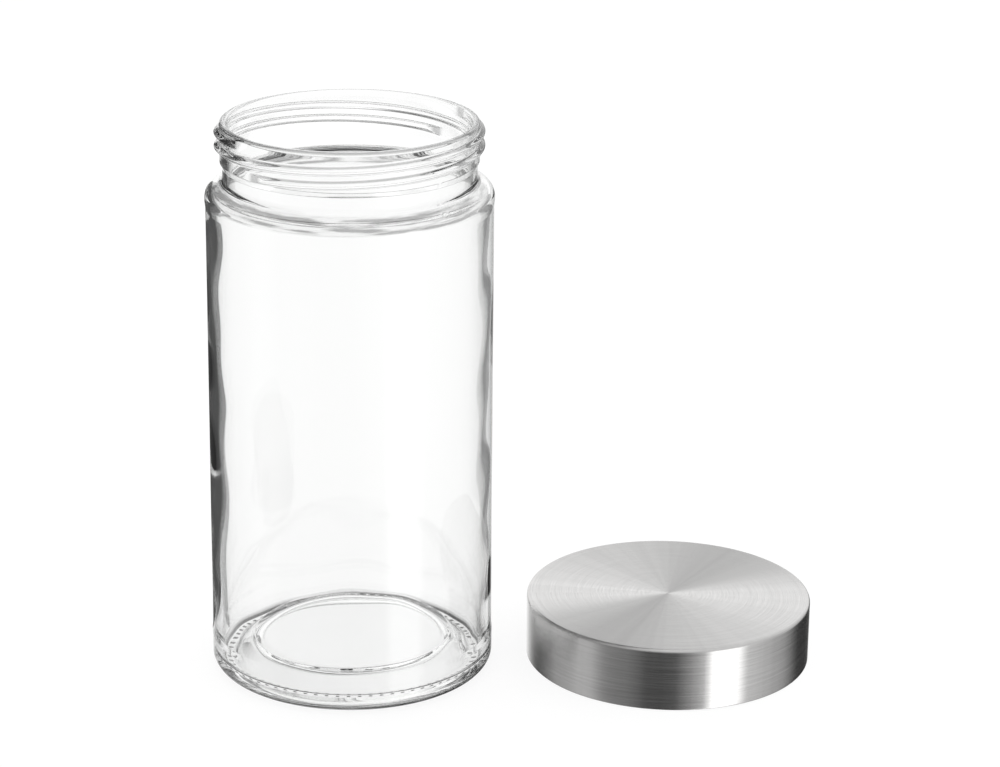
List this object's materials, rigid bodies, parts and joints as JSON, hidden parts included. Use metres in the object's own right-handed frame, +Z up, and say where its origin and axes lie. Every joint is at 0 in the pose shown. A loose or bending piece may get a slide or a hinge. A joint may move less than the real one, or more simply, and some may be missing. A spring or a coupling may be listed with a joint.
{
  "type": "lidded glass canister",
  "caption": "Tall clear glass storage jar with a two-start screw neck, open, and its brushed steel screw lid with a threaded liner and sealing ring lying beside it",
  "frame": {"origin": "centre of the jar's bearing ring, on the table", "axes": "+Z up along the jar's axis out of the mouth, +X towards the lid beside the jar, +Y away from the front"},
  "size_m": [0.2264, 0.1127, 0.21],
  "materials": {
    "clear_glass": "clear, fire-polished, with the faint waviness of pressed and blown glass",
    "brushed_steel": "stainless steel, circular brushing on the top, fine brushing round the skirt",
    "white_plastic": "moulded satin plastic",
    "soft_seal": "soft, matte, slightly translucent silicone"
  },
  "bodies": {
    "jar": {"jar_body": "clear_glass"},
    "seal": {"lid_seal": "soft_seal"},
    "lid": {"lid_shell": "brushed_steel", "lid_thread_liner": "white_plastic"}
  },
  "joints": [
    {"name": "lid_lift", "type": "slide", "parent": "jar", "child": "seal", "axis": [0, 0, 1], "range_m": [0, 0.235]},
    {"name": "lid_turn", "type": "hinge", "parent": "seal", "child": "lid", "pos_m": [0.1198, 0.0061, 0], "axis": [0, 0, 1], "continuous": true}
  ]
}
